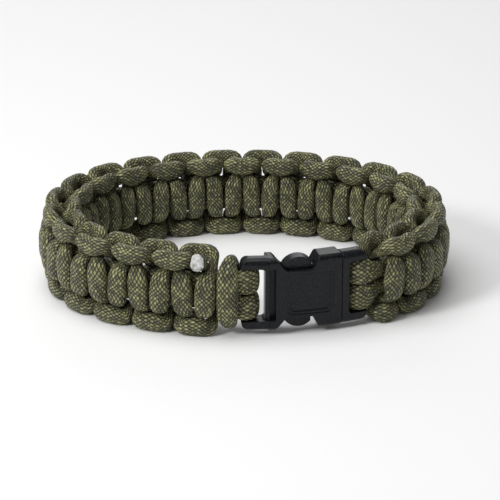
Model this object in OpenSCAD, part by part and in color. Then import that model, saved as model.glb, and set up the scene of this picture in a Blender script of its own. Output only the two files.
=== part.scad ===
// Paracord bracelet: a cobra stitch band made of one cord, closed by a side release buckle.
// Sizes are in millimetres. The bracelet stands on its lower edge, so the wrist goes through
// along Z. The buckle is in front, on -Y, and the origin is on the floor under the middle.

/* [Loop] */
// Width of the oval that the core strands follow
loop_w = 74.4; // [70:0.2:84]
// Depth of the oval that the core strands follow
loop_d = 55; // [52:0.5:64]
// Bend radius of that oval at its two narrow ends
end_r = 24; // [20:0.5:25]
// How far the middle of the buckle sits to the right of the middle of the front
buckle_shift = 11.8; // [9:0.1:13]

/* [Cord] */
// Diameter of the cord, drawn tight
cord_d = 3.7; // [3.5:0.05:3.9]
// Length of band that one crossing takes up
crossing_pitch = 4.28; // [4.2:0.02:4.6]
// Facets round a cord
cord_sides = 8; // [8:4:12]
// Free space left between a cord and what it lies against
cord_gap = 0.12; // [0.08:0.01:0.16]
// Distance from the right bar to the first crossing
lead_in = 6; // [5.8:0.05:6.6]
// Distance from the left bar to the last crossing
lead_out = 7.3; // [7.1:0.05:7.8]
// Length of a melted tip at a cut end of the cord
tip_len = 0.5; // [0.3:0.05:0.8]

/* [Buckle] */
// Width of the buckle, across the band
buckle_w = 15; // [14.6:0.1:16]
// Thickness of the buckle's body
buckle_t = 5; // [4.6:0.1:5.4]
// Thickness of the two frames that the cord loops through
frame_t = 3.6; // [3.4:0.1:4.2]
// Rounding of the body's long edges
edge_r = 1; // [0.6:0.05:1.3]
// Rounding of the frames' long edges
frame_edge_r = 1.3; // [0.9:0.05:1.6]
// Distance between the middles of the two bars
bar_span = 23; // [22.8:0.1:24.5]
// Radius of each bar
bar_r = 0.9; // [0.8:0.05:1]
// Height of a frame's arm, above and below its slot
arm_h = 2; // [1.8:0.05:2.3]
// Rounding of a frame's outer corners
corner_r = 2.2; // [1.6:0.1:2.6]
// Rounding of a slot's inner corners
slot_corner_r = 0.8; // [0.5:0.05:1]
// Free length in the socket's slot beside the cord
slot_slack = 0.8; // [0.5:0.1:1.2]
// Length of the rib left standing beside the socket's slot
rib_len = 0.9; // [0.7:0.05:1.1]
// How far that rib stays below the socket's face
rib_drop = 0.8; // [0.5:0.05:1]
// Length of the groove between that rib and the socket's face
groove_len = 1.1; // [0.8:0.05:1.4]
// Depth of that groove
groove_depth = 1.6; // [1.3:0.05:1.9]
// Length of the shoulder before the side windows
shoulder_len = 2.35; // [2:0.05:2.7]
// Length over which the shoulder runs out beside the side windows
shoulder_run = 1; // [0.7:0.05:1.3]
// Width of the socket between its two side windows
waist_w = 9.7; // [9.4:0.1:10.4]
// Length of a side window
window_len = 5.7; // [5.2:0.1:6]
// Length of the socket's mouth band
mouth_len = 5.8; // [5.4:0.1:6.2]
// Length of the plug's solid end, between the seam and its slot
plug_base_len = 1.4; // [1.2:0.05:1.8]
// Wall of the socket over the prongs
socket_wall = 1.1; // [0.9:0.05:1.2]
// Radius of the dome of a prong's ear
ear_r = 3.4; // [3.2:0.1:3.8]
// Length over which the socket's mouth slopes back beside its side windows
mouth_bevel = 1.4; // [1:0.1:1.7]
// How far a prong's ear stays inside the buckle's width
ear_recess = 0.2; // [0.1:0.05:0.4]
// Width of a prong inside the mouth
prong_w = 1.6; // [1.4:0.05:1.8]
// Running clearance between the plug and the socket
plug_gap = 0.15; // [0.1:0.01:0.2]
// Length of the plain sunk panel on the socket
panel_size = 9.4; // [8.8:0.1:9.8]
// Width of the rims above and below that panel
panel_rim = 0.5; // [0.4:0.05:0.7]
// Width of the step round that panel
panel_step = 0.6; // [0.4:0.05:0.8]
// Depth of that panel
panel_depth = 0.4; // [0.3:0.05:0.5]
// Rounding of that panel's corners
panel_corner_r = 1.3; // [1:0.1:1.6]

/* [Hidden] */
OLIVE = [0.36, 0.37, 0.22];
OLIVE_CORE = [0.33, 0.34, 0.21];
TIP_WHITE = [0.86, 0.86, 0.84];
SOCKET_BLACK = [0.13, 0.13, 0.14];
PLUG_BLACK = [0.17, 0.17, 0.18];
ROUND = 48;
EPS = 0.01;
CURVE_STEPS = 12;
// How far an outline stands past the slab that trims it, and an arm past its bar
OVER = 0.08;
// Length that two joined forms share
LAP = 0.5;
// How far along its length an ear is highest
EAR_PEAK = 0.56;
DEGREES = 180 / PI;

// The oval is four arcs that meet without a kink
half_w = loop_w / 2;
half_d = loop_d / 2;
side_r = (half_w * half_w + half_d * half_d - 2 * half_w * end_r) / (2 * (half_d - end_r));
side_half_angle = asin((half_w - end_r) / (side_r - end_r));
side_half = side_r * side_half_angle / DEGREES;
end_len = end_r * (180 - 2 * side_half_angle) / DEGREES;
loop_len = 4 * side_half + 2 * end_len;
// Columns: where an arc starts, its radius, centre x, centre y, outward angle at its start
ARCS = [[-side_half, side_r, 0, side_r - half_d, -90 - side_half_angle],
        [side_half, end_r, half_w - end_r, 0, -90 + side_half_angle],
        [side_half + end_len, side_r, 0, half_d - side_r, 90 - side_half_angle],
        [3 * side_half + end_len, end_r, end_r - half_w, 0, 90 + side_half_angle]];

// Places along the loop run anticlockwise from the middle of the front
right_bar = buckle_shift + bar_span / 2;
left_bar = loop_len + buckle_shift - bar_span / 2;
first_crossing = right_bar + lead_in;
last_crossing = left_bar - lead_out;
band_len = last_crossing - first_crossing;
crossings = 2 * round(band_len / crossing_pitch / 2) + 1;
pitch = band_len / (crossings - 1);

// A quarter turn of a knot cord, from the middle of a crossing to the top of its edge loop.
// Columns: along, in pitches; out and up, in cord diameters; half width, in pitches;
// half thickness, in cord diameters; how far the width has turned from along to out
KNOT = [[0, 0.9, 0, 0.475, 0.42, 0],
        [-0.046, 0.904, 0.797, 0.411, 0.316, -6],
        [-0.305, 0.022, 1.346, 0.174, 0.243, 0],
        [-0.078, -0.585, 1.845, 0.308, 0.446, 102.8],
        [0.5, -0.738, 1.802, 0.291, 0.516, 90]];
APEX = len(KNOT) - 1;

// The core strands, and how they flatten where they go round a bar
core_r = 0.43 * cord_d;
core_up = core_r + cord_gap / 2;
slot_h = buckle_w - 2 * arm_h;
wrap_half_w = slot_h / 4 - cord_gap;
wrap_up = wrap_half_w + cord_gap / 2;
wrap_half_t = 0.25 * cord_d;
wrap_r = bar_r + cord_gap + wrap_half_t;
slot_need = 2 * (wrap_half_t + cord_gap);

// Lengths along the buckle, from its middle
bar_at = bar_span / 2;
plug_slot_at = bar_at - bar_r - slot_need;
seam_at = plug_slot_at - plug_base_len;
mouth_at = seam_at - mouth_len;
window_at = mouth_at - window_len;
socket_slot_at = -bar_at + bar_r + slot_need + slot_slack;
shoulder_at = window_at - shoulder_len;
body_mid = (shoulder_at + seam_at) / 2;
panel_mid = mouth_at - 0.4;
groove_end = socket_slot_at + rib_len + groove_len;
cavity_half_w = waist_w / 2 + prong_w / 2;
cavity_half_t = buckle_t / 2 - socket_wall;

function unit(v) = v / norm(v);

// The outward angle and the point of a place along the loop, before the loop is centred
function arc_of(at) = ARCS[at < ARCS[1][0] ? 0 : at < ARCS[2][0] ? 1 : at < ARCS[3][0] ? 2 : 3];
function on_loop(at) = at >= loop_len - side_half ? at - loop_len : at;
function way_out(at) =
    let (here = on_loop(at), arc = arc_of(here)) arc[4] + (here - arc[0]) / arc[1] * DEGREES;
function raw_place(p) =
    let (arc = arc_of(on_loop(p.x)), angle = way_out(p.x))
    [arc[2] + (arc[1] + p.y) * cos(angle), arc[3] + (arc[1] + p.y) * sin(angle), p.z];

// The buckle is bent to one arc, which meets the loop at both bars and turns as far as the loop
bar_chord = raw_place([right_bar, 0, 0]) - raw_place([left_bar, 0, 0]);
bend = way_out(right_bar) - way_out(left_bar);
bend_r = norm(bar_chord) / (2 * sin(bend / 2));
bend_mid = atan2(bar_chord.y, bar_chord.x) - 90;
bend_centre = raw_place([left_bar, 0, 0]) + bar_chord / 2
    - bend_r * cos(bend / 2) * [cos(bend_mid), sin(bend_mid), 0];

// A station of a cord: its centre as along, out and up, the way its width points, its half width
// and its half thickness
function ring(stations, i) =
    let (here = stations[i],
         before = stations[max(i - 1, 0)][0],
         after = stations[min(i + 1, len(stations) - 1)][0],
         heading = unit(after - before),
         side = unit(here[1] - (here[1] * heading) * heading),
         other = cross(heading, side),
         flat = 1 / cos(180 / cord_sides))
    [for (j = [0:cord_sides - 1])
        let (turn = 360 * (j + 0.5) / cord_sides)
        raw_place(here[0] + flat * (here[2] * cos(turn) * side + here[3] * sin(turn) * other))];

function skin(stations) = [for (i = [0:len(stations) - 1]) each ring(stations, i)];

// Four corners of a wall, split along the shorter diagonal
function split(points, a, b, c, d) =
    norm(points[a] - points[c]) < norm(points[b] - points[d]) + EPS
        ? [[a, b, c], [a, c, d]] : [[a, b, d], [b, c, d]];

module cord(stations) {
    points = skin(stations);
    last = (len(stations) - 1) * cord_sides;
    walls = [for (a = [0:cord_sides:last - 1], j = [0:cord_sides - 1])
        let (near = a + j, next = a + (j + 1) % cord_sides)
        each split(points, near, next, next + cord_sides, near + cord_sides)];
    near_cap = [for (j = [cord_sides - 1:-1:0]) j];
    far_cap = [for (j = [0:cord_sides - 1]) last + j];
    translate(-middle) polyhedron(points, concat(walls, [near_cap, far_cap]));
}

// A station of a knot cord between crossing k and the next one. hand is 1 for the cord that
// crosses outside the band, and -1 for the one that crosses inside
function knot_station(k, i, hand) =
    let (back = i > APEX,
         row = KNOT[back ? 2 * APEX - i : i],
         way = back ? -1 : 1,
         up = (k % 2 == 1 ? -1 : 1) * hand,
         flip = k % 2 == 1 ? 1 : -1,
         level = first_crossing + (k - 1 + (back ? 1 : 0)) * pitch)
    [[level + way * row[0] * pitch, hand * row[1] * cord_d, up * row[2] * cord_d],
     flip * [way * cos(row[5]), hand * sin(row[5]), 0], row[3] * pitch, row[4] * cord_d];

// Stations from a table of lengths in cord diameters, away from the bar of a frame. Where a table
// says so, along and half width are shares of a room instead.
// Columns: along, out, up, half width, half thickness, and the width's way along, out and up
function from_bar(table, bar, away, room = cord_d) =
    [for (row = table)
        [[bar + away * row[0] * room, row[1] * cord_d, row[2] * cord_d],
         [away * row[5], row[6], row[7]], row[3] * room, row[4] * cord_d]];

// Both knot cords leave the right bar on the inside of the band
OUTER_START = [[0.14, -0.60, 0.66, 0.23, 0.56, 0, -1, 0],
               [0.36, -0.56, 0.80, 0.26, 0.52, 0, -1, 0],
               [0.62, -0.56, 1.14, 0.265, 0.42, 0, -1, 0],
               [0.75, -0.58, 1.76, 0.30, 0.34, 0, -1, 0]];
INNER_START = [[0.14, -0.60, -0.66, 0.23, 0.56, 0, 1, 0],
               [0.36, -0.55, -0.78, 0.26, 0.52, 0, 1, 0],
               [0.62, -0.50, -1.08, 0.28, 0.40, -0.3, 1, 0],
               [0.66, -0.22, -1.52, 0.28, 0.38, -0.7, 0.7, 0],
               [0.74, 0.26, -1.80, 0.28, 0.34, -0.8, 0.6, 0]];
// Each stops after its last crossing. The inner cord turns out between two edge loops.
// Columns as in KNOT, for the stations after the last crossing
INNER_TAIL = [[-0.2, 0.52, 1.78, 0.27, 0.39, 0],
              [-0.31, 0.96, 1.92, 0.31, 0.46, 0]];
OUTER_TAIL_ROWS = 2;

function knot_run(hand) =
    [for (i = [APEX:2 * APEX - 1]) knot_station(0, i, hand),
     for (k = [1:crossings - 1], i = [0:2 * APEX - 1]) knot_station(k, i, hand)];

outer_stations = concat(from_bar(OUTER_START, right_bar, 1), knot_run(1),
                        [for (i = [0:OUTER_TAIL_ROWS]) knot_station(crossings, i, 1)]);
inner_stations = concat(from_bar(INNER_START, right_bar, 1), knot_run(-1),
                        [for (i = [0:2]) knot_station(crossings, i, -1)],
                        [for (row = INNER_TAIL)
                            [[last_crossing + row[0] * pitch, row[1] * cord_d, row[2] * cord_d],
                             [1, 0, 0], row[3] * pitch, row[4] * cord_d]]);

// The core is one run: from the right bar's inside, round that bar, along the band, round the
// left bar and over the band's end as a lark's head, and back the same way mirrored.
// Upper half, from the middle of the lark's head to the left bar. Columns as from_bar, with along
// and half width in shares of the room between the left bar and the last crossing
head_room = lead_out - KNOT[0][3] * pitch - cord_gap;
LARKS_HEAD = [[0.615, 1.0, 0, 0.385, 0.34, 1, 0.14, 0],
              [0.615, 0.93, 0.68, 0.385, 0.33, 1, 0.14, 0],
              [0.622, 0.68, 1.28, 0.37, 0.33, 1, 0.05, 0],
              [0.545, 0.1, 1.68, 0.258, 0.38, 1, 0, 0],
              [0.458, -0.42, 1.45, 0.215, 0.36, 0.9, 0, -0.3],
              [0.287, -0.58, 0.90, 0.258, 0.28, 0.5, 0, -0.8]];
BAR_TURNS = [160, 126, 92, 58, 24, -10];
// From a bar's outside down to the middle of the band. Columns as from_bar
INTO_BAND = [[0.40, 0.44, 0.62, 0.60, 0.28, 0, 0, -1],
             [0.74, 0.20, 0.5, 0.48, 0.38, 0, 0, -1],
             [1.08, 0.03, 0.466, 0.45, 0.44, 0, 0, -1]];

function bar_stations(bar, away, turns) =
    [for (turn = turns)
        [[bar - away * wrap_r * sin(turn), wrap_r * cos(turn), wrap_up],
         [0, 0, -1], wrap_half_w, wrap_half_t]];
function backwards(list) = [for (i = [len(list) - 1:-1:0]) list[i]];
function upside_down(stations) =
    [for (s = stations) [[s[0].x, s[0].y, -s[0].z], [s[1].x, s[1].y, -s[1].z], s[2], s[3]]];

upper_half = concat(
    from_bar(LARKS_HEAD, left_bar, -1, head_room),
    bar_stations(left_bar, -1, BAR_TURNS),
    from_bar(INTO_BAND, left_bar, -1),
    [for (k = [crossings:-1:1])
        [[first_crossing + (k - 1) * pitch, 0, core_up], [0, 0, -1], core_r, core_r]],
    backwards(from_bar(INTO_BAND, right_bar, 1)),
    bar_stations(right_bar, 1, backwards(BAR_TURNS)));
lower_half = upside_down([for (i = [1:len(upper_half) - 1]) upper_half[i]]);
core_stations = concat(backwards(lower_half), upper_half);

// The part is centred over its knots and stands on the lowest of them
knot_points = concat(skin(outer_stations), skin(inner_stations));
function reach(axis, way) = max([for (p = knot_points) way * p[axis]]);
middle = [(reach(0, 1) - reach(0, -1)) / 2, (reach(1, 1) - reach(1, -1)) / 2, -reach(2, -1)];

// A tip goes on past the last station of a cord, after a hair of free space
module tip(stations) {
    end = stations[len(stations) - 1];
    way = unit(end[0] - stations[len(stations) - 2][0]);
    steps = [[0.02, 1], [tip_len * 0.6, 1.03], [tip_len, 0.8]];
    cord([for (step = steps) [end[0] + step[0] * way, end[1], end[2] * step[1], end[3] * step[1]]]);
}

module core_cord() {
    color(OLIVE_CORE) cord(core_stations);
}

module outer_knot_cord() {
    color(OLIVE) cord(outer_stations);
}

module inner_knot_cord() {
    color(OLIVE) cord(inner_stations);
}

module outer_tip() {
    color(TIP_WHITE) tip(outer_stations);
}

module inner_tip() {
    color(TIP_WHITE) tip(inner_stations);
}

// Children drawn at a place along the buckle, from its middle: X along the band, -Y outward, Z up
module at_buckle(at) {
    translate(bend_centre - middle) rotate([0, 0, bend_mid + bend * at / bar_span + 90])
        translate([0, -bend_r, 0]) children();
}

module rounded_rect(length, height, r) {
    square([length - 2 * r, height], center = true);
    square([length, height - 2 * r], center = true);
    for (x = [-1, 1], y = [-1, 1])
        translate([x * (length / 2 - r), y * (height / 2 - r)]) circle(r, $fn = ROUND);
}

// All that lies past a place along the buckle, on one side of it. way is -1 for the left
module past(at, way) {
    at_buckle(at) translate([way * loop_d / 2, 0, 0]) cube(loop_d, center = true);
}

// A slab with rounded long edges, bent to the buckle's arc
module bent_slab(thickness, height, r, lift = 0) {
    translate(bend_centre - middle) rotate_extrude($fn = 4 * ROUND)
        translate([bend_r + lift, 0]) rounded_rect(thickness, height, r);
}

// An outline along the band and up, pushed through the band about a place along the buckle
module pushed_through(at, depth = 2 * buckle_t) {
    at_buckle(at) rotate([90, 0, 0]) linear_extrude(depth, center = true) children();
}

// The outline of the slot that the cord goes through, open past the frame's end, about a place
module slot_outline(slot_from, way, mid) {
    slot_len = bar_at + bar_r + 2 * slot_corner_r - slot_from;
    translate([way * (slot_from + slot_len / 2) - mid, 0])
        rounded_rect(slot_len, slot_h, slot_corner_r);
}

// A frame that runs from a cut across the buckle to its bar, with a slot for the cord. Its front
// is flush with the body's
module frame(cut_at, slot_from, way) {
    hidden = 2 * corner_r;
    length = bar_at + bar_r + OVER - cut_at + hidden;
    mid = way * (cut_at - hidden + length / 2);
    intersection() {
        bent_slab(frame_t, buckle_w, frame_edge_r, (buckle_t - frame_t) / 2);
        past(way * cut_at, way);
        pushed_through(mid) difference() {
            rounded_rect(length, buckle_w + 2 * OVER, corner_r);
            slot_outline(slot_from, way, mid);
        }
    }
    at_buckle(way * bar_at)
        cylinder(r = bar_r, h = slot_h + slot_corner_r / 4, center = true, $fn = ROUND);
}

// The socket's upper outline from its frame to its mouth, low between the two windows
function socket_edge() =
    let (half = buckle_w / 2, waist = waist_w / 2, high = half + OVER,
         run = shoulder_len + shoulder_run)
    [[shoulder_at - LAP, high + OVER], [shoulder_at, high + OVER],
     for (i = [0:CURVE_STEPS])
         let (share = i / CURVE_STEPS)
         [shoulder_at + share * run, high - (high - waist) * (1 - cos(180 * share)) / 2],
     [mouth_at, waist], [mouth_at + 1.5 * mouth_bevel, 1.5 * half - waist / 2],
     [seam_at + corner_r, 1.5 * half - waist / 2]];

module socket_outline() {
    edge = [for (p = socket_edge()) [p.x - body_mid, p.y]];
    polygon(concat(edge, [for (i = [len(edge) - 1:-1:0]) [edge[i].x, -edge[i].y]]));
}

// Everything inside the socket that the prongs need, open at the mouth and at both windows
module socket_cavity() {
    intersection() {
        bent_slab(2 * cavity_half_t, 2 * buckle_w, EPS);
        pushed_through(body_mid) translate([window_at - body_mid, -cavity_half_w])
            square([seam_at + corner_r - window_at, 2 * cavity_half_w]);
    }
}

// An outline sunk into the socket's face about a place along the buckle
module sunk(at, depth) {
    intersection() {
        bent_slab(2 * depth, buckle_w, EPS, buckle_t / 2);
        pushed_through(at) children();
    }
}

module panel_cut() {
    height = waist_w - 2 * panel_rim;
    sunk(panel_mid, panel_depth / 2) rounded_rect(panel_size, height, panel_corner_r);
    sunk(panel_mid, panel_depth)
        rounded_rect(panel_size - 2 * panel_step, height - 2 * panel_step, panel_corner_r - panel_step / 2);
}

// The pocket beside the socket's slot: a low rib, then a deeper groove
module pocket_cut() {
    rib_end = groove_end - groove_len / 2;
    length = rib_len + 3 * slot_corner_r;
    sunk(rib_end - length / 2, rib_drop) rounded_rect(length, slot_h - 4 * OVER, slot_corner_r);
    sunk(groove_end - groove_len / 2, groove_depth)
        rounded_rect(groove_len, slot_h - 2 * OVER, slot_corner_r / 4);
}

// A prong runs in from the plug's base and ends in a rounded ear that fills the side window
module prong_outline(half) {
    from = window_at + plug_gap - body_mid;
    ear_to = mouth_at - plug_gap - body_mid;
    to = seam_at + LAP - body_mid;
    ear_top = half - ear_recess;
    foot = cavity_half_w - plug_gap;
    translate([from + LAP, foot - prong_w]) square([to - from - LAP, prong_w]);
    intersection() {
        translate([from + EAR_PEAK * (ear_to - from), ear_top - ear_r]) circle(ear_r, $fn = 2 * ROUND);
        translate([from, foot - prong_w / 2]) square([ear_to - from, ear_top - foot + prong_w]);
    }
}

module buckle_socket() {
    color(SOCKET_BLACK) difference() {
        union() {
            frame(LAP / 2 - shoulder_at, -socket_slot_at, -1);
            intersection() {
                bent_slab(buckle_t, buckle_w, edge_r);
                pushed_through(body_mid) difference() {
                    socket_outline();
                    slot_outline(-socket_slot_at, -1, body_mid);
                }
            }
        }
        socket_cavity();
        panel_cut();
        pocket_cut();
        past(seam_at - plug_gap, 1);
    }
}

module buckle_plug() {
    color(PLUG_BLACK) {
        frame(seam_at, plug_slot_at, 1);
        intersection() {
            bent_slab(2 * (cavity_half_t - plug_gap), 2 * buckle_w, EPS);
            pushed_through(body_mid) for (side = [0, 1]) mirror([0, side]) prong_outline(buckle_w / 2);
        }
    }
}

core_cord();
outer_knot_cord();
inner_knot_cord();
outer_tip();
inner_tip();
buckle_socket();
buckle_plug();
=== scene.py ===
"""A braided cord bracelet with a side release buckle, standing on its lower edge."""
import math

import bpy
import numpy as np
from mathutils import Matrix, Vector


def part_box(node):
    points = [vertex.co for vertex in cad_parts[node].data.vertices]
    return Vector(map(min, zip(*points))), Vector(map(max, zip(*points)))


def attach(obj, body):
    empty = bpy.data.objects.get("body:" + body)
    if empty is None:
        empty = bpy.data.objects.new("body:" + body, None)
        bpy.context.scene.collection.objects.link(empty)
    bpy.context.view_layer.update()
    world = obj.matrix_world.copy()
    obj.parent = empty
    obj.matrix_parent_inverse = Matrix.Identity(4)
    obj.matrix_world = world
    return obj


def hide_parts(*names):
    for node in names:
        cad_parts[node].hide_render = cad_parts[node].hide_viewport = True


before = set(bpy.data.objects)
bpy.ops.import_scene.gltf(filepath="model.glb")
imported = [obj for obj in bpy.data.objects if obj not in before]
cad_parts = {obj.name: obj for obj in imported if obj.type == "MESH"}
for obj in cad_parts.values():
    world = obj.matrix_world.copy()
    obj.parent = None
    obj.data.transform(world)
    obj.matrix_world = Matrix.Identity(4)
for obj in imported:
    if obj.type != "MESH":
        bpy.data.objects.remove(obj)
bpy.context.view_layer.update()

# Sizes in millimetres, the same as in the CAD; MM turns them into the frame's metres
MM = 0.001
LOOP_W, LOOP_D, END_R = 74.4, 55.0, 24.0
BUCKLE_SHIFT, BAR_SPAN, BAR_R, BUCKLE_W, ARM_H = 11.8, 23.0, 0.9, 15.0, 2.0
CORD_D, CORD_GAP, CROSSING_PITCH = 3.7, 0.12, 4.28
LEAD_IN, LEAD_OUT = 6.0, 7.3
CAD_SIDES = 8

# The oval's four arcs
HALF_W, HALF_D = LOOP_W / 2, LOOP_D / 2
SIDE_R = (HALF_W ** 2 + HALF_D ** 2 - 2 * HALF_W * END_R) / (2 * (HALF_D - END_R))
SIDE_TURN = math.asin((HALF_W - END_R) / (SIDE_R - END_R))
SIDE_HALF = SIDE_R * SIDE_TURN
END_LEN = END_R * (math.pi - 2 * SIDE_TURN)
LOOP_LEN = 4 * SIDE_HALF + 2 * END_LEN
# Columns: where an arc starts, its radius, centre x, centre y, outward angle at its start
ARCS = np.array([[-SIDE_HALF, SIDE_R, 0, SIDE_R - HALF_D, -math.pi / 2 - SIDE_TURN],
                 [SIDE_HALF, END_R, HALF_W - END_R, 0, -math.pi / 2 + SIDE_TURN],
                 [SIDE_HALF + END_LEN, SIDE_R, 0, HALF_D - SIDE_R, math.pi / 2 - SIDE_TURN],
                 [3 * SIDE_HALF + END_LEN, END_R, END_R - HALF_W, 0, math.pi / 2 + SIDE_TURN]])

# The band between the buckle's bars
RIGHT_BAR = BUCKLE_SHIFT + BAR_SPAN / 2
LEFT_BAR = LOOP_LEN + BUCKLE_SHIFT - BAR_SPAN / 2
FIRST_CROSSING = RIGHT_BAR + LEAD_IN
LAST_CROSSING = LEFT_BAR - LEAD_OUT
BAND_LEN = LAST_CROSSING - FIRST_CROSSING
CROSSINGS = 2 * round(BAND_LEN / CROSSING_PITCH / 2) + 1
PITCH = BAND_LEN / (CROSSINGS - 1)

# The core strands, and their flattened turns round the bars, in degrees from straight out
CORE_R = 0.43 * CORD_D
CORE_UP = CORE_R + CORD_GAP / 2
WRAP_HALF_W = (BUCKLE_W - 2 * ARM_H) / 4 - CORD_GAP
WRAP_HALF_T = 0.25 * CORD_D
WRAP_R = BAR_R + CORD_GAP + WRAP_HALF_T
BAR_TURNS = [160, 126, 92, 58, 24, -10]

# A quarter turn of a knot cord. Columns: along, in pitches; out and up, in cord diameters;
# half width, in pitches; half thickness, in cord diameters; turn of the width, in degrees
KNOT = [[0, 0.9, 0, 0.475, 0.42, 0],
        [-0.046, 0.904, 0.797, 0.411, 0.316, -6],
        [-0.305, 0.022, 1.346, 0.174, 0.243, 0],
        [-0.078, -0.585, 1.845, 0.308, 0.446, 102.8],
        [0.5, -0.738, 1.802, 0.291, 0.516, 90]]
APEX = len(KNOT) - 1
# Steps of a knot that both working cords still take at the last crossing
END_STEPS = 3
# The inner cord's free end, in the units of KNOT's first five columns, from the last crossing
INNER_TAIL = [[-0.2, 0.52, 1.78, 0.27, 0.39],
              [-0.31, 0.96, 1.92, 0.31, 0.46]]
# Lengths in cord diameters, away from a bar. Columns: along, out, up, half width,
# half thickness, and the width's way along, out and up
OUTER_START = [[0.14, -0.60, 0.66, 0.23, 0.56, 0, -1, 0],
               [0.36, -0.56, 0.80, 0.26, 0.52, 0, -1, 0],
               [0.62, -0.56, 1.14, 0.265, 0.42, 0, -1, 0],
               [0.75, -0.58, 1.76, 0.30, 0.34, 0, -1, 0]]
INNER_START = [[0.14, -0.60, -0.66, 0.23, 0.56, 0, 1, 0],
               [0.36, -0.55, -0.78, 0.26, 0.52, 0, 1, 0],
               [0.62, -0.50, -1.08, 0.28, 0.40, -0.3, 1, 0],
               [0.66, -0.22, -1.52, 0.28, 0.38, -0.7, 0.7, 0],
               [0.74, 0.26, -1.80, 0.28, 0.34, -0.8, 0.6, 0]]
INTO_BAND = [[0.40, 0.44, 0.62, 0.60, 0.28, 0, 0, -1],
             [0.74, 0.20, 0.5, 0.48, 0.38, 0, 0, -1],
             [1.08, 0.03, 0.466, 0.45, 0.44, 0, 0, -1]]
# The same, with along and half width in shares of the room beside the left bar
HEAD_ROOM = LEAD_OUT - KNOT[0][3] * PITCH - CORD_GAP
LARKS_HEAD = [[0.615, 1.0, 0, 0.385, 0.34, 1, 0.14, 0],
              [0.615, 0.93, 0.68, 0.385, 0.33, 1, 0.14, 0],
              [0.622, 0.68, 1.28, 0.37, 0.33, 1, 0.05, 0],
              [0.545, 0.1, 1.68, 0.258, 0.38, 1, 0, 0],
              [0.458, -0.42, 1.45, 0.215, 0.36, 0.9, 0, -0.3],
              [0.287, -0.58, 0.90, 0.258, 0.28, 0.5, 0, -0.8]]

# Columns of a station: place along, out and up, the width's way along, out and up, and then
# half width and half thickness, all in millimetres
PLACE, WAY, HALF_WIDTH, HALF_THICKNESS = slice(0, 3), slice(3, 6), slice(6, 7), slice(7, 8)
HALF_SIZES = slice(6, 8)
UPSIDE_DOWN = [1, 1, -1, 1, 1, -1, 1, 1]

# The braid: stitches round the cord, the length of a row of them, and the sheath's points
STITCHES = 14
STITCH_ROW = 0.98
POINTS_A_STITCH = 2
BRAID_COLUMNS = POINTS_A_STITCH * STITCHES
BRAID_STEP = STITCH_ROW / POINTS_A_STITCH
# How far the sheath stands out of the CAD's section, and a stitch out of the sheath
CORD_FULLNESS = -0.04
STITCH_RELIEF = 0.05
# A stitch's roundness across and along, where 1 is a parabola and less is flatter
CROWN_POWER, LENGTH_POWER = 0.8, 0.45
# How much further the soft core strands spread up and down than the CAD's
CORE_SPREAD = 0.21
# A drawn cord is a little squarer than an ellipse, so its curve has powers of 2.3, not 2
SECTION_POWER = 2 / 2.3
# The spacing at which a route is measured, and the points that its section is measured at
FINE_STEP = 0.05
SECTION_POINTS = 193

# Rings of a melted end. Columns: millimetres past the cord's end, size as a share of the cord's
TIP_RINGS = [[0.02, 0.9],
             [0.06, 0.99],
             [0.14, 1.02],
             [0.25, 0.98],
             [0.38, 0.82],
             [0.46, 0.56],
             [0.5, 0.24]]
TIP_COLUMNS = 40
# Waves round a melted end. Columns: their number, height in millimetres, turn in radians
TIP_WAVES = [[3, 0.05, 0.7],
             [7, 0.03, 0]]
# The length of a ring in a melted end's map, and the rings that are singed
TIP_ROW = 0.1
SINGED_RINGS = 2
# The corners of a cap's triangle in the map of a cord or a melted end
CAP_MAP = [[0.5, 0], [0.5, 0.1], [0.52, 0.1]]

# Colours of the sheath: a painted highlight and a painted shade for a stitch, a painted shade
# between stitches; and of the buckle's two halves
OLIVE_HIGHLIGHT = (0.38, 0.37, 0.165, 1)
OLIVE_SHADE = (0.14, 0.138, 0.06, 1)
OLIVE_GAP_SHADE = (0.032, 0.033, 0.016, 1)
SOCKET_BLACK = (0.002, 0.0028, 0.004, 1)
PLUG_BLACK = (0.003, 0.0038, 0.005, 1)
# Colours of a melted end: burnt at its rim, and from grey to white by the blotches of its skin
SINGED = (0.05, 0.048, 0.03, 1)
CHALK = [(0.3, (0.2, 0.2, 0.18, 1)),
         (0.42, (0.4, 0.4, 0.38, 1)),
         (0.62, (0.62, 0.63, 0.62, 1))]
FLOOR_GREY, FLOOR_WHITE = (0.86, 0.86, 0.86, 1), (0.9, 0.9, 0.9, 1)

# Depths of relief in the materials, in millimetres
STITCH_DEPTH, SKIN_DEPTH, NYLON_GRAIN = 0.2, 0.12, 0.045
# The nylon's rounded edges in millimetres, and how many rays find them
NYLON_EDGE_R, EDGE_SAMPLES = 0.3, 6
# How far strands wander round and along the cord, in stitches, and how many filaments each shows
WANDER_ROUND, WANDER_ALONG = 0.4, 0.5
FILAMENTS = 3

# The camera, fitted to the photo: its yaw and elevation in degrees, its distance from the
# loop's middle and its sensor's width in millimetres, and its focal length, the picture's
# width and the place of the lens's axis in pixels
CAMERA_YAW, CAMERA_ELEVATION, CAMERA_DISTANCE = -0.28, 21.8, 507.0
SENSOR_W, FOCAL_PIXELS, PICTURE_PIXELS = 36.0, 2470.0, 500.0
AXIS_PIXEL = (244.2, 238.9)

# Lights, floor and camera range in metres. A light has its watts, width and place
LIGHTS = {"overhead_softbox": (2.7, 0.6, (-0.15, 0.0, 0.6)),
          "left_key": (2.8, 0.2, (-0.5, -0.36, 0.44)),
          "back_panel": (0.9, 0.5, (0.0, 0.7, 0.3))}
LIGHT_TARGET = (0, 0, 0.01)
SKY_STRENGTH = 0.22
FLOOR_HALF = 3.0
NEAREST, FARTHEST = 0.01, 20


# The loop

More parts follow.
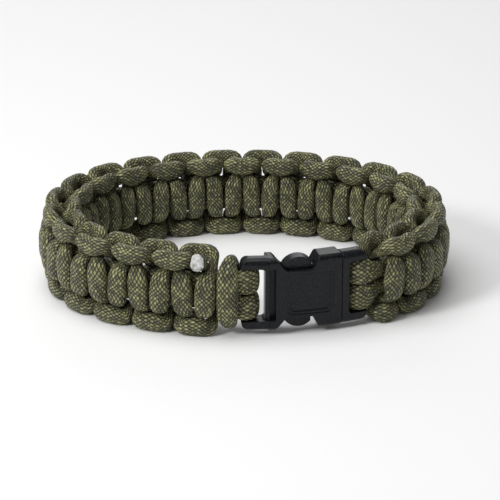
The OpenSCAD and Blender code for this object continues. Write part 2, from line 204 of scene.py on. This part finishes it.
def bend_round(points):
    """Points given along, out and up, bent round the oval, before it is centred."""
    along, out, up = points[..., 0], points[..., 1], points[..., 2]
    along = (along + SIDE_HALF) % LOOP_LEN - SIDE_HALF
    arc = ARCS[np.searchsorted(ARCS[1:, 0], along, side="right")]
    angle = arc[..., 4] + (along - arc[..., 0]) / arc[..., 1]
    reach = arc[..., 1] + out
    return np.stack([arc[..., 2] + reach * np.cos(angle),
                     arc[..., 3] + reach * np.sin(angle), up], axis=-1)


def settle(points, middle):
    """Points of the route in the frame's metres, where middle is the frame's own origin."""
    return (bend_round(points) - middle) * MM


def unit(vectors):
    """The same vectors with a length of 1."""
    return vectors / np.linalg.norm(vectors, axis=-1, keepdims=True)


def lengths_along(points):
    """How far each point is from the first one, by way of the points between."""
    return np.concatenate([[0], np.cumsum(np.linalg.norm(np.diff(points, axis=0), axis=1))])


# The cords' routes

def knot_station(crossing, step, hand):
    """A step from one crossing to the next; hand is 1 for the outer cord and -1 for the inner."""
    back = step > APEX
    along, out, up, half_w, half_t, turn = KNOT[2 * APEX - step if back else step]
    way = -1 if back else 1
    flip = 1 if crossing % 2 else -1
    turn = math.radians(turn)
    level = FIRST_CROSSING + (crossing - 1 + back) * PITCH
    return [level + way * along * PITCH, hand * out * CORD_D, -flip * hand * up * CORD_D,
            flip * way * math.cos(turn), flip * hand * math.sin(turn), 0,
            half_w * PITCH, half_t * CORD_D]


def from_bar(table, bar, away, room=CORD_D):
    """A table's stations beside a bar, where away is 1 on the right bar and -1 on the left."""
    return [[bar + away * along * room, out * CORD_D, up * CORD_D,
             away * way_along, way_out, way_up, half_w * room, half_t * CORD_D]
            for along, out, up, half_w, half_t, way_along, way_out, way_up in table]


def round_bar(bar, away, turns):
    """The core cord's stations round a bar, by the side that faces the buckle."""
    return [[bar - away * WRAP_R * math.sin(math.radians(turn)),
             WRAP_R * math.cos(math.radians(turn)), WRAP_HALF_W + CORD_GAP / 2,
             0, 0, -1, WRAP_HALF_W, WRAP_HALF_T] for turn in turns]


def working_cord(start, hand):
    """A knot cord from beside the right bar, by way of every crossing, to past the last one."""
    first = [knot_station(0, step, hand) for step in range(APEX, 2 * APEX)]
    knots = [knot_station(k, step, hand) for k in range(1, CROSSINGS) for step in range(2 * APEX)]
    last = [knot_station(CROSSINGS, step, hand) for step in range(END_STEPS)]
    return from_bar(start, RIGHT_BAR, 1) + first + knots + last


def outer_stations():
    return np.array(working_cord(OUTER_START, 1))


def inner_stations():
    """The inner working cord, with the free end that shows its melted tip."""
    tail = [[LAST_CROSSING + along * PITCH, out * CORD_D, up * CORD_D, 1, 0, 0,
             half_w * PITCH, half_t * CORD_D] for along, out, up, half_w, half_t in INNER_TAIL]
    return np.array(working_cord(INNER_START, -1) + tail)


def core_stations():
    """One run: the lower strand from right to left, the lark's head, the upper strand back."""
    band = [[FIRST_CROSSING + (k - 1) * PITCH, 0, CORE_UP + CORE_SPREAD, 0, 0, -1,
             CORE_R + CORE_SPREAD, CORE_R] for k in range(CROSSINGS, 0, -1)]
    upper = np.array(from_bar(LARKS_HEAD, LEFT_BAR, -1, HEAD_ROOM)
                     + round_bar(LEFT_BAR, -1, BAR_TURNS)
                     + from_bar(INTO_BAND, LEFT_BAR, -1) + band
                     + from_bar(INTO_BAND, RIGHT_BAR, 1)[::-1]
                     + round_bar(RIGHT_BAR, 1, BAR_TURNS[::-1]))
    lower = upper[:0:-1] * UPSIDE_DOWN
    return np.concatenate([lower, upper])


# The cords' sections

def width_way(stations, heading):
    """The way of each station's width, made square to the way that the cord runs."""
    way = stations[:, WAY]
    return unit(way - (way * heading).sum(-1, keepdims=True) * heading)


def signed_power(values, power):
    """The power of sines or cosines, with the signs that they had."""
    return np.sign(values) * np.abs(values) ** power


def section(stations, heading, angles, power, grow=1.0):
    """Points round each station, at the same angles or at a row of angles for each."""
    side = width_way(stations, heading)
    other = np.cross(heading, side)
    angles = np.broadcast_to(angles, (len(stations), np.shape(angles)[-1]))
    wide, thick = signed_power(np.cos(angles), power), signed_power(np.sin(angles), power)
    return (stations[:, None, PLACE]
            + grow * stations[:, None, HALF_WIDTH] * wide[..., None] * side[:, None]
            + grow * stations[:, None, HALF_THICKNESS] * thick[..., None] * other[:, None])


def cad_corner(stations):
    """The lowest corner of the CAD's faceted cord on those stations, before it is centred."""
    before = np.concatenate([stations[:1], stations[:-1]])[:, PLACE]
    after = np.concatenate([stations[1:], stations[-1:]])[:, PLACE]
    angles = (np.arange(CAD_SIDES) + 0.5) * 2 * math.pi / CAD_SIDES
    points = section(stations, unit(after - before), angles, 1, 1 / math.cos(math.pi / CAD_SIDES))
    return bend_round(points).reshape(-1, 3).min(0)


def route_middle(outer, inner):
    """The frame's origin in the route's own axes, from the lowest corners of both knot cords."""
    drawn = np.minimum(cad_corner(outer), cad_corner(inner))
    packed = np.minimum(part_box("outer_knot_cord")[0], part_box("inner_knot_cord")[0]) / MM
    return drawn - packed


# The braided sheath

def smooth_line(stations, at):
    """A cubic line through the stations, read at lengths along the chords between them."""
    knots = lengths_along(stations[:, PLACE])
    slope = np.gradient(stations, knots, axis=0)
    i = np.clip(np.searchsorted(knots, at, side="right") - 1, 0, len(knots) - 2)
    span = (knots[i + 1] - knots[i])[:, None]
    t = ((at - knots[i]) / span[:, 0])[:, None]
    # Shares of the stations at both ends of a span, and of the slopes there
    start, end = 2 * t ** 3 - 3 * t ** 2 + 1, 3 * t ** 2 - 2 * t ** 3
    start_slope, end_slope = t ** 3 - 2 * t ** 2 + t, t ** 3 - t ** 2
    return (start * stations[i] + start_slope * span * slope[i]
            + end * stations[i + 1] + end_slope * span * slope[i + 1])


def even_line(stations, step):
    """Stations on the same line, at even steps of its real length round the oval."""
    chords = lengths_along(stations[:, PLACE])[-1]
    fine = np.linspace(0, chords, int(chords / FINE_STEP))
    length = lengths_along(bend_round(smooth_line(stations, fine)[:, PLACE]))
    steps = int(length[-1] // step)
    return smooth_line(stations, np.interp(np.linspace(0, length[-1], steps + 1), length, fine))


def sheath_twist(side, heading):
    """How many turns the section has made within the sheath, which itself never twists."""
    carried = side[0]
    turns = np.zeros(len(side))
    for i in range(1, len(side)):
        carried = carried - (carried @ heading[i]) * heading[i]
        carried /= np.linalg.norm(carried)
        other = np.cross(heading[i], side[i])
        turns[i] = math.atan2(carried @ other, carried @ side[i])
    return np.unwrap(turns) / (2 * math.pi)


def stitch(across, along):
    """The height of a rounded stitch over a cell that is 0 to 1 each way."""
    return (across * (1 - across) * 4) ** CROWN_POWER * (along * (1 - along) * 4) ** LENGTH_POWER


def weave_height(share_round, row):
    """How high the weave stands, from 0 to 1: each strand goes over one and under one."""
    around, along = share_round * STITCHES, row / POINTS_A_STITCH
    first, second = around + along, around - along
    on_top = (np.floor(first) - np.floor(second)) % 2 < 1
    return stitch(np.where(on_top, first, second) % 1, np.where(on_top, second, first) % 1)


def braided_points(rows):
    """The sheath's points on the braid's own grid, with stitches raised and crossings sunk."""
    heading = unit(np.gradient(rows[:, PLACE], axis=0))
    twist = sheath_twist(width_way(rows, heading), heading)
    around = np.linspace(0, 2 * math.pi, SECTION_POINTS)
    shape = section(rows, heading, around, SECTION_POWER)
    girth = np.cumsum(np.linalg.norm(np.diff(shape, axis=1), axis=-1), axis=1)
    girth = np.concatenate([np.zeros((len(rows), 1)), girth / girth[:, -1:]], axis=1)
    share_round = np.arange(BRAID_COLUMNS) / BRAID_COLUMNS
    angles = np.array([np.interp((share_round + twist[r]) % 1, girth[r], around)
                       for r in range(len(rows))])
    points = section(rows, heading, angles, SECTION_POWER)
    outward = unit(points - rows[:, None, PLACE])
    height = weave_height(share_round[None], np.arange(len(rows))[:, None])
    relief = CORD_FULLNESS + STITCH_RELIEF * height
    return points + relief[..., None] * outward


# Pieces

def tube(name, points, row_length):
    """A closed tube over rings of points, with the braid's grid as its map."""
    rows, columns = points.shape[:2]
    r, c = np.meshgrid(np.arange(rows - 1), np.arange(columns), indexing="ij")
    near, far = r * columns + c, r * columns + (c + 1) % columns
    walls = np.stack([near, far, far + columns, near + columns], axis=-1).reshape(-1, 4)
    wall_map = np.stack([np.stack([c, c + 1, c + 1, c], -1) / columns,
                         np.stack([r, r, r + 1, r + 1], -1) * row_length], -1).reshape(-1, 2)
    ring = np.arange(columns)
    next_on_ring = (ring + 1) % columns
    last_ring = (rows - 1) * columns
    # Each cap is a fan round a middle point of its own, and those two come after the rings
    near_cap = [np.full(columns, rows * columns), next_on_ring, ring]
    far_cap = [np.full(columns, rows * columns + 1), ring + last_ring, next_on_ring + last_ring]
    caps = np.concatenate([np.stack(near_cap, -1), np.stack(far_cap, -1)])
    cap_map = np.tile(CAP_MAP, (len(caps), 1))
    cap_map[len(cap_map) // 2:, 1] += (rows - 1) * row_length
    vertices = np.concatenate([points.reshape(-1, 3), [points[0].mean(0), points[-1].mean(0)]])
    mesh = bpy.data.meshes.new(name)
    mesh.from_pydata(vertices.tolist(), [], walls.tolist() + caps.tolist())
    grid = mesh.uv_layers.new(name="braid")
    grid.data.foreach_set("uv", np.concatenate([wall_map, cap_map]).astype(np.float32).ravel())
    mesh.polygons.foreach_set("use_smooth", np.ones(len(mesh.polygons), bool))
    mesh.update()
    return add_object(name, mesh)


def add_object(name, data):
    added = bpy.data.objects.new(name, data)
    bpy.context.scene.collection.objects.link(added)
    return added


def take_place(piece, node, material):
    """Puts the piece in the place of a CAD node, on the bracelet's one body."""
    piece.data.materials.append(material)
    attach(piece, "root")
    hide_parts(node)


def cord_piece(name, node, stations, middle, material):
    """A whole cord in its braided sheath."""
    rows = even_line(stations, BRAID_STEP)
    piece = tube(name, settle(braided_points(rows), middle), BRAID_STEP)
    take_place(piece, node, material)


def tip_piece(name, node, stations, middle, material):
    """A cut end that was melted flat: a low, uneven dome."""
    heading = unit(stations[-1:, PLACE] - stations[-2:-1, PLACE])
    rings = np.repeat(stations[-1:], len(TIP_RINGS), axis=0)
    for ring, (past_end, size) in zip(rings, TIP_RINGS):
        ring[PLACE] += past_end * heading[0]
        ring[HALF_SIZES] *= size
    angles = np.arange(TIP_COLUMNS) * 2 * math.pi / TIP_COLUMNS
    points = section(rings, np.repeat(heading, len(rings), axis=0), angles, SECTION_POWER)
    waves = sum(height * np.sin(number * angles + turn) for number, height, turn in TIP_WAVES)
    points += waves[None, :, None] * unit(points - rings[:, None, PLACE])
    piece = tube(name, settle(points, middle), TIP_ROW)
    take_place(piece, node, material)


def paint(node, material):
    """Gives a CAD node that stays its material."""
    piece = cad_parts[node]
    piece.data.materials.clear()
    piece.data.materials.append(material)


# Shaders

class Signal:
    """A value of a shader, which Python's operators turn into Math nodes."""

    def __init__(self, shader, socket):
        self.shader, self.socket = shader, socket

    def math(self, operation, *values):
        return self.shader.node("ShaderNodeMath", {"operation": operation}, dict(enumerate(values)))

    def __add__(self, other):
        return self.math("ADD", self, other)

    def __radd__(self, other):
        return self.math("ADD", other, self)

    def __sub__(self, other):
        return self.math("SUBTRACT", self, other)

    def __rsub__(self, other):
        return self.math("SUBTRACT", other, self)

    def __mul__(self, other):
        return self.math("MULTIPLY", self, other)

    def __rmul__(self, other):
        return self.math("MULTIPLY", other, self)

    def __truediv__(self, other):
        return self.math("DIVIDE", self, other)

    def __pow__(self, other):
        return self.math("POWER", self, other)

    def __mod__(self, other):
        return self.math("FLOORED_MODULO", self, other)

    def __lt__(self, other):
        return self.math("LESS_THAN", self, other)

    def floor(self):
        return self.math("FLOOR", self)

    def fraction(self):
        return self.math("FRACT", self)

    def sine(self):
        return self.math("SINE", self)

    def clamped(self, low, high):
        return self.math("MINIMUM", self.math("MAXIMUM", self, low), high)


class Shader:
    """A material with one Principled BSDF."""

    def __init__(self, name, **constants):
        self.material = bpy.data.materials.new(name)
        self.material.use_nodes = True
        self.nodes = self.material.node_tree.nodes
        self.links = self.material.node_tree.links
        self.surface = self.nodes["Principled BSDF"]
        self.set(**constants)

    def node(self, kind, settings, sockets, output=0):
        """Adds a node, with its settings first and then its sockets, and returns its output."""
        node = self.nodes.new(kind)
        for setting, value in settings.items():
            if setting == "stops":
                self.set_stops(node.color_ramp, value)
            else:
                setattr(node, setting, value)
        for socket, value in sockets.items():
            self.feed(node.inputs[socket], value)
        return Signal(self, node.outputs[output])

    def feed(self, socket, value):
        """Links a signal to a socket, or sets the socket's own value."""
        if isinstance(value, Signal):
            self.links.new(value.socket, socket)
        else:
            socket.default_value = value

    def set(self, **sockets):
        """Feeds the surface's sockets, which are named with underscores for spaces."""
        for socket, value in sockets.items():
            self.feed(self.surface.inputs[socket.replace("_", " ")], value)

    def set_stops(self, ramp, stops):
        """Gives a colour ramp its stops, of which a new ramp has two."""
        ramp.elements.remove(ramp.elements[1])
        ramp.elements[0].position, ramp.elements[0].color = stops[0]
        for position, colour in stops[1:]:
            ramp.elements.new(position).color = colour

    def mix(self, factor, a, b):
        """Colour a where the factor is 0 and b where it is 1."""
        return self.node("ShaderNodeMix", {"data_type": "RGBA"}, {0: factor, 6: a, 7: b}, output=2)

    def noise(self, scale, detail):
        """Soft noise from 0 to 1, whose scale is in waves a metre."""
        sockets = {"Vector": self.node("ShaderNodeTexCoord", {}, {}, output="Object"),
                   "Scale": scale, "Detail": detail}
        return self.node("ShaderNodeTexNoise", {}, sockets)

    def braid_map(self):
        """The share of the way round the cord, and the millimetres along it."""
        grid = self.node("ShaderNodeUVMap", {"uv_map": "braid"}, {})
        round_share = self.node("ShaderNodeSeparateXYZ", {}, {0: grid}, output="X")
        return round_share, Signal(self, round_share.socket.node.outputs["Y"])

    def bump(self, height, depth, **sockets):
        """Relief of a depth in millimetres, on the surface or on another normal."""
        relief = {"Height": height, "Distance": depth * MM, **sockets}
        self.set(Normal=self.node("ShaderNodeBump", {}, relief))


# Materials

def braid_material(name):
    """Nylon sheath of two crossing sets of strands, each over one and under one."""
    braid = Shader(name, Sheen_Weight=0.05, Sheen_Roughness=0.4)
    share_round, length = braid.braid_map()
    worn, slack = braid.noise(260, 3) - 0.5, braid.noise(520, 2) - 0.5
    around = share_round * STITCHES + slack * WANDER_ROUND
    along = length / STITCH_ROW + worn * WANDER_ALONG
    first, second = around + along, around - along
    first_strand, second_strand = first.floor(), second.floor()
    on_top = (first_strand - second_strand) % 2 < 1
    first_stitch = stitch(first.fraction(), second.fraction())
    second_stitch = stitch(second.fraction(), first.fraction())
    height = second_stitch + (first_stitch - second_stitch) * on_top
    cell = braid.node("ShaderNodeCombineXYZ", {}, {"X": first_strand, "Y": second_strand})
    odd = braid.node("ShaderNodeTexWhiteNoise", {"noise_dimensions": "3D"}, {"Vector": cell})
    uneven = odd - 0.5
    across = first.fraction() * on_top + second.fraction() * (1 - on_top)
    ridges = (across * (FILAMENTS * 2 * math.pi)).sine()
    # A stitch's colour runs from a painted shade to a painted highlight: mostly a random tone for
    # each stitch, partly a painted sheen on the strands that lie on top
    strand = braid.mix((on_top * 0.3 + odd * 0.7).clamped(0, 1), OLIVE_SHADE, OLIVE_HIGHLIGHT)
    # Where the weave sinks between stitches the colour goes to a painted shade, with noise in its
    # edge
    above_gap_shade = (height * 2 + uneven * 0.8 + worn * 1.2 + ridges * 0.12 - 0.95).clamped(0, 1)
    braid.set(Base_Color=braid.mix(above_gap_shade, OLIVE_GAP_SHADE, strand),
              Roughness=(0.7 - height * 0.34 + uneven * 0.16).clamped(0.25, 1))
    braid.bump(height + ridges * 0.05 + uneven * 0.1, STITCH_DEPTH)
    return braid.material


def nylon_material(name, black):
    """Black moulded nylon with a fine spark eroded grain, painted glints on it, and softly rounded
    edges.
    """
    nylon = Shader(name, Specular_IOR_Level=0.26)
    fine, broad = nylon.noise(4200, 2), nylon.noise(300, 3)
    # Painted glints: specks of the grain are lighter in colour, as if they caught the light
    glint = [channel * 3 + 0.014 for channel in black[:3]] + [1]
    glint_mask = ((fine - 0.55) * 9).clamped(0, 1)
    nylon.set(Base_Color=nylon.mix(glint_mask, black, glint),
              Roughness=0.2 + fine * 0.16 + broad * 0.08)
    radius = {"Radius": NYLON_EDGE_R * MM}
    edge = nylon.node("ShaderNodeBevel", {"samples": EDGE_SAMPLES}, radius, output="Normal")
    nylon.bump(fine * 0.8 + broad * 0.2, NYLON_GRAIN, Normal=edge)
    return nylon.material


def melted_material(name):
    """Cord yarn melted to a chalky skin, with a singed rim where it meets the sheath."""
    melt = Shader(name, Specular_IOR_Level=0.4)
    blotch, fine = melt.noise(1400, 3), melt.noise(4200, 2)
    skin = melt.node("ShaderNodeValToRGB", {"stops": CHALK}, {"Fac": blotch})
    height_on_dome = melt.braid_map()[1]
    past_rim = height_on_dome + (blotch - 0.5) * 0.3 - SINGED_RINGS * TIP_ROW
    white = (past_rim * 9).clamped(0, 1)
    melt.set(Base_Color=melt.mix(white, SINGED, skin), Roughness=0.4 + fine * 0.25)
    melt.bump(blotch + fine * 0.4, SKIN_DEPTH)
    return melt.material


def floor_material(name):
    """Matt white board with a faint, broad unevenness."""
    board = Shader(name, Roughness=0.9)
    board.set(Base_Color=board.mix(board.noise(3, 2), FLOOR_GREY, FLOOR_WHITE))
    return board.material


# The stage

def add_camera(middle):
    """Looks at the middle of the loop, at half the band's height."""
    yaw, elevation = math.radians(CAMERA_YAW), math.radians(CAMERA_ELEVATION)
    forward = Vector((math.sin(yaw) * math.cos(elevation), math.cos(yaw) * math.cos(elevation),
                      -math.sin(elevation)))
    right = Vector((math.cos(yaw), -math.sin(yaw), 0))
    up = right.cross(forward)
    data = bpy.data.cameras.new("camera")
    data.sensor_width = SENSOR_W
    data.lens = FOCAL_PIXELS / PICTURE_PIXELS * SENSOR_W
    data.shift_x = 0.5 - AXIS_PIXEL[0] / PICTURE_PIXELS
    data.shift_y = AXIS_PIXEL[1] / PICTURE_PIXELS - 0.5
    data.clip_start = NEAREST
    data.clip_end = FARTHEST
    camera = add_object("camera", data)
    target = Vector(-middle) * MM
    turn = Matrix((right, up, -forward)).transposed().to_4x4()
    camera.matrix_world = Matrix.Translation(target - forward * CAMERA_DISTANCE * MM) @ turn
    bpy.context.scene.camera = camera


def add_light(name, watts, width, position):
    """A round area light that is aimed at the foot of the loop."""
    data = bpy.data.lights.new(name, "AREA")
    data.energy = watts
    data.shape = "DISK"
    data.size = width
    light = add_object(name, data)
    light.location = position
    aim = Vector(LIGHT_TARGET) - Vector(position)
    light.rotation_euler = aim.to_track_quat("-Z", "Y").to_euler()


def add_floor():
    half = FLOOR_HALF
    mesh = bpy.data.meshes.new("floor")
    mesh.from_pydata([(-half, -half, 0), (half, -half, 0), (half, half, 0), (-half, half, 0)], [],
                     [(0, 1, 2, 3)])
    mesh.materials.append(floor_material("floor_white"))
    floor = add_object("floor", mesh)


def add_sky():
    """An even white surround, and colours shown as they are."""
    world = bpy.data.worlds.new("studio")
    world.use_nodes = True
    background = world.node_tree.nodes["Background"].inputs
    background["Color"].default_value = (1, 1, 1, 1)
    background["Strength"].default_value = SKY_STRENGTH
    bpy.context.scene.world = world
    bpy.context.scene.view_settings.view_transform = "Standard"


# The bracelet

outer, inner, core = outer_stations(), inner_stations(), core_stations()
middle = route_middle(outer, inner)

olive = braid_material("olive_braid")
cord_piece("outer_cord", "outer_knot_cord", outer, middle, olive)
cord_piece("inner_cord", "inner_knot_cord", inner, middle, olive)
cord_piece("core_strands", "core_cord", core, middle, olive)

melted = melted_material("melted_white")
tip_piece("outer_melted_tip", "outer_tip", outer, middle, melted)
tip_piece("inner_melted_tip", "inner_tip", inner, middle, melted)

paint("buckle_socket", nylon_material("nylon_black_socket", SOCKET_BLACK))
paint("buckle_plug", nylon_material("nylon_black_plug", PLUG_BLACK))

add_camera(middle)
add_floor()
for light_name, (watts, width, position) in LIGHTS.items():
    add_light(light_name, watts, width, position)
add_sky()
